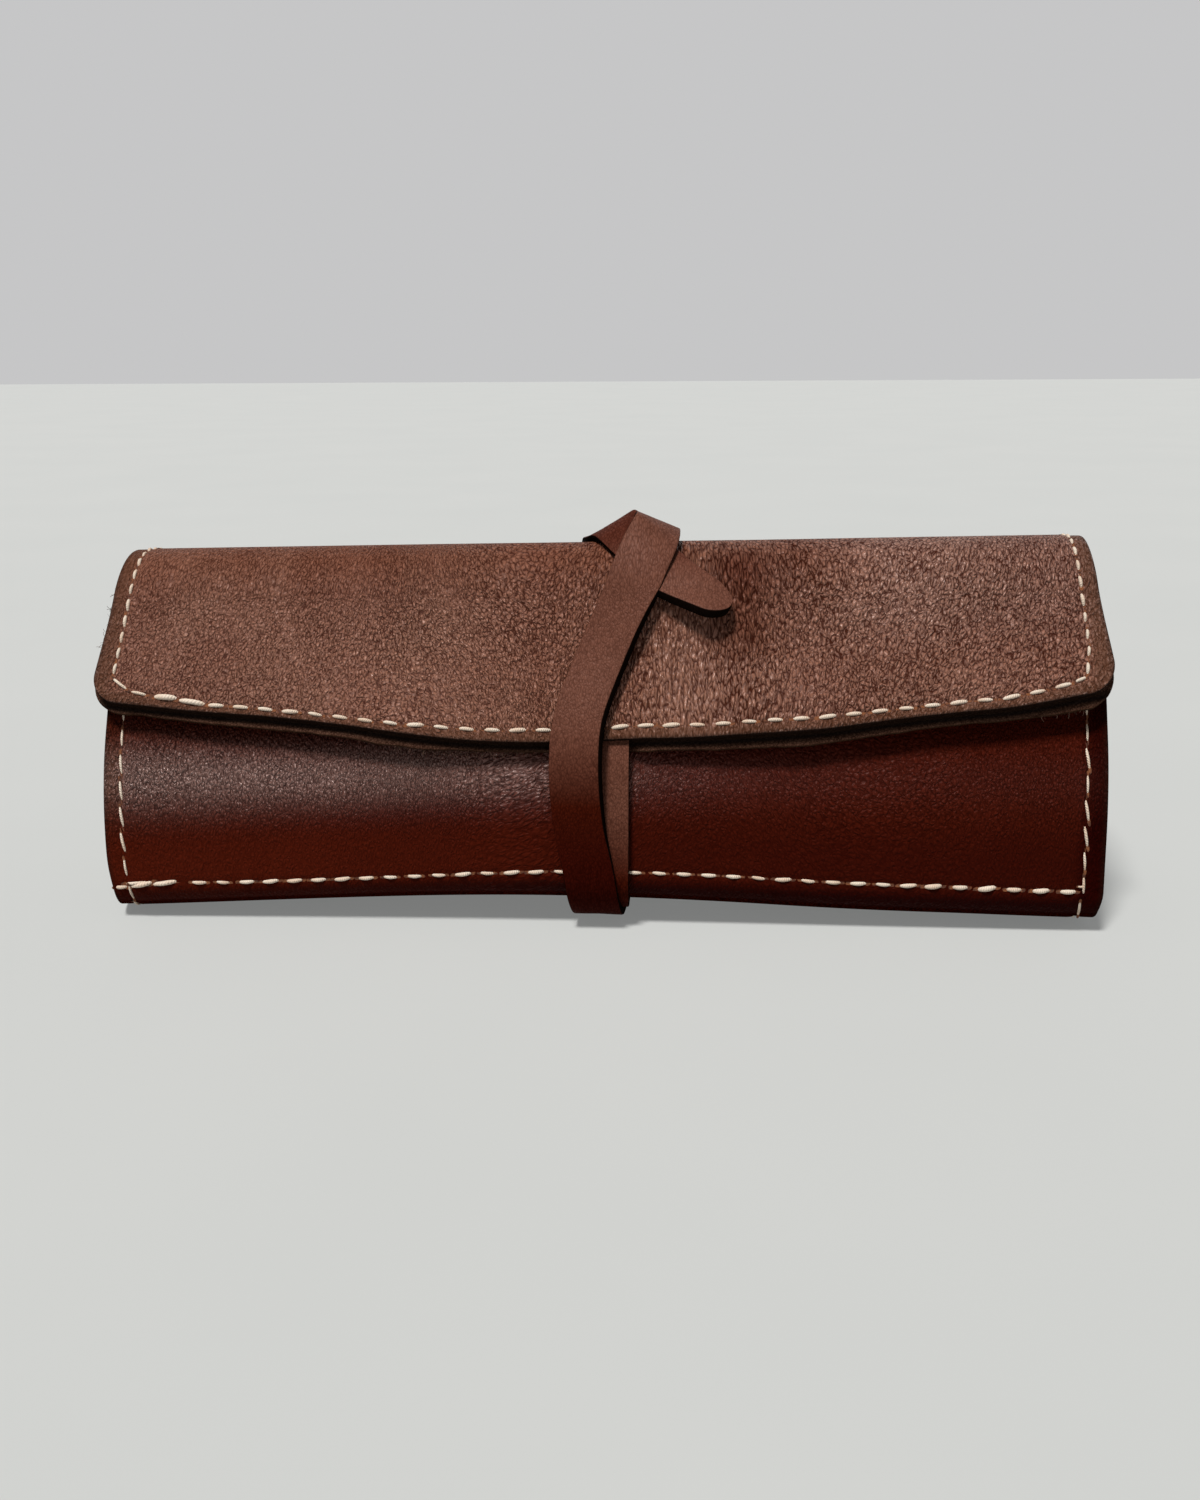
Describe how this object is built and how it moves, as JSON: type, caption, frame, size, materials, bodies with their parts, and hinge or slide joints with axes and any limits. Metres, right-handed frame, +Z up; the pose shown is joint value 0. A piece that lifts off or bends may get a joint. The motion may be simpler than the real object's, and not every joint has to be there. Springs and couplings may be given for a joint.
{
  "type": "jewelry roll",
  "caption": "Lined leather jewelry roll, rolled into a soft loaf with a rounded stitched flap and tied with a wrapped leather strap; pockets and a ring bar inside.",
  "frame": {"origin": "on the table under the middle of the rolled and tied roll", "axes": "+X along the roll to the right as seen from the front, +Y from the front to the back, +Z up"},
  "size_m": [0.23, 0.0688, 0.0903],
  "materials": {
    "outer_leather": "pebbled, slightly waxed",
    "lining_leather": "matt suede side",
    "strap_leather": "smooth, waxed, dark cut edges",
    "ring_leather": "smooth",
    "thread": "waxed thread",
    "snap_brass": "satin"
  },
  "bodies": {
    "base": {"outer_base": "outer_leather", "lining_base": "lining_leather", "seam_base_left": "thread", "seam_base_right": "thread", "ring_bar_anchor": "ring_leather", "snap_stud": "snap_brass"},
    "front": {"outer_front": "outer_leather", "lining_front": "lining_leather", "pocket_front": "lining_leather", "seam_front": "thread", "seam_pocket": "thread"},
    "back": {"outer_back": "outer_leather", "lining_back": "lining_leather", "pocket_back": "lining_leather", "seam_back_left": "thread", "seam_back_right": "thread"},
    "top": {"outer_top": "outer_leather", "lining_top": "lining_leather", "seam_top_left": "thread", "seam_top_right": "thread"},
    "flap": {"outer_flap": "outer_leather", "lining_flap": "lining_leather", "seam_flap": "thread", "strap_root": "strap_leather"},
    "strap_front": {"strap_front_run": "strap_leather"},
    "strap_base": {"strap_base_run": "strap_leather"},
    "strap_back": {"strap_back_run": "strap_leather"},
    "strap_top": {"strap_top_run": "strap_leather"},
    "strap_cross": {"strap_cross_run": "strap_leather"},
    "strap_base_outer": {"strap_base_outer_run": "strap_leather"},
    "strap_back_outer": {"strap_back_outer_run": "strap_leather"},
    "strap_top_outer": {"strap_top_outer_run": "strap_leather"},
    "strap_tip": {"strap_tip": "strap_leather"},
    "ring_bar": {"ring_bar": "ring_leather", "ring_bar_strip": "ring_leather", "snap_cap": "snap_brass", "snap_socket": "snap_brass"}
  },
  "joints": [
    {"name": "unroll", "type": "hinge", "parent": "base", "child": "back", "pos_m": [0, 0.02649, 0.00854], "axis": [-1, 0, 0], "range_deg": [0, 96], "deforming": ["outer_flap", "lining_flap", "seam_flap", "strap_root", "strap_front_run", "strap_base_run", "strap_back_run", "strap_top_run", "strap_cross_run", "strap_base_outer_run", "strap_back_outer_run", "strap_top_outer_run", "strap_tip"]},
    {"name": "front_fold", "type": "hinge", "parent": "base", "child": "front", "pos_m": [0, -0.0277, 0.00691], "axis": [1, 0, 0], "range_deg": [0, 107]},
    {"name": "back_top_fold", "type": "hinge", "parent": "back", "child": "top", "pos_m": [0, 0.02228, 0.07402], "axis": [-1, 0, 0], "range_deg": [0, 71]},
    {"name": "ridge_fold", "type": "hinge", "parent": "top", "child": "flap", "pos_m": [0, -0.00536, 0.08121], "axis": [-1, 0, 0], "range_deg": [0, 80]},
    {"name": "strap_root_fold", "type": "hinge", "parent": "flap", "child": "strap_front", "pos_m": [0, -0.02631, 0.04086], "axis": [-1, 0, 0], "range_deg": [0, 18]},
    {"name": "strap_fold_1", "type": "hinge", "parent": "strap_front", "child": "strap_base", "pos_m": [0, -0.02952, 0.00529], "axis": [-1, 0, 0], "range_deg": [0, 99]},
    {"name": "strap_fold_2", "type": "hinge", "parent": "strap_base", "child": "strap_back", "pos_m": [0, 0.02804, 0.00705], "axis": [-1, 0, 0], "range_deg": [0, 91]},
    {"name": "strap_fold_3", "type": "hinge", "parent": "strap_back", "child": "strap_top", "pos_m": [0, 0.0246, 0.07644], "axis": [-1, 0, 0], "range_deg": [0, 66]},
    {"name": "strap_fold_4", "type": "hinge", "parent": "strap_top", "child": "strap_cross", "pos_m": [0, -0.00896, 0.08697], "axis": [-1, 0, 0], "range_deg": [0, 100]},
    {"name": "strap_fold_5", "type": "hinge", "parent": "strap_cross", "child": "strap_base_outer", "pos_m": [0, -0.03113, 0.00387], "axis": [-1, 0, 0], "range_deg": [0, 110]},
    {"name": "strap_fold_6", "type": "hinge", "parent": "strap_base_outer", "child": "strap_back_outer", "pos_m": [0, 0.02959, 0.00556], "axis": [-1, 0, 0], "range_deg": [0, 82]},
    {"name": "strap_fold_7", "type": "hinge", "parent": "strap_back_outer", "child": "strap_top_outer", "pos_m": [0, 0.0246, 0.07644], "axis": [-1, 0, 0], "range_deg": [0, 103]},
    {"name": "strap_fold_8", "type": "hinge", "parent": "strap_top_outer", "child": "strap_tip", "pos_m": [0, -0.00655, 0.0831], "axis": [-1, 0, 0], "range_deg": [0, 47]},
    {"name": "ring_bar_lift", "type": "hinge", "parent": "base", "child": "ring_bar", "pos_m": [-0.056, 0.00414, 0.01175], "axis": [0, -1, 0], "range_deg": [0, 18]}
  ],
  "couplings": [
    {"joint": "front_fold", "follows": "unroll", "ratio": 1.1081},
    {"joint": "back_top_fold", "follows": "unroll", "ratio": 0.7308},
    {"joint": "ridge_fold", "follows": "unroll", "ratio": 0.8243},
    {"joint": "strap_root_fold", "follows": "unroll", "ratio": 0.1767},
    {"joint": "strap_fold_1", "follows": "unroll", "ratio": 1.0198},
    {"joint": "strap_fold_2", "follows": "unroll", "ratio": 0.9428},
    {"joint": "strap_fold_3", "follows": "unroll", "ratio": 0.6736},
    {"joint": "strap_fold_4", "follows": "unroll", "ratio": 1.0343},
    {"joint": "strap_fold_5", "follows": "unroll", "ratio": 1.1414},
    {"joint": "strap_fold_6", "follows": "unroll", "ratio": 0.8441},
    {"joint": "strap_fold_7", "follows": "unroll", "ratio": 1.0603},
    {"joint": "strap_fold_8", "follows": "unroll", "ratio": 0.4782}
  ]
}
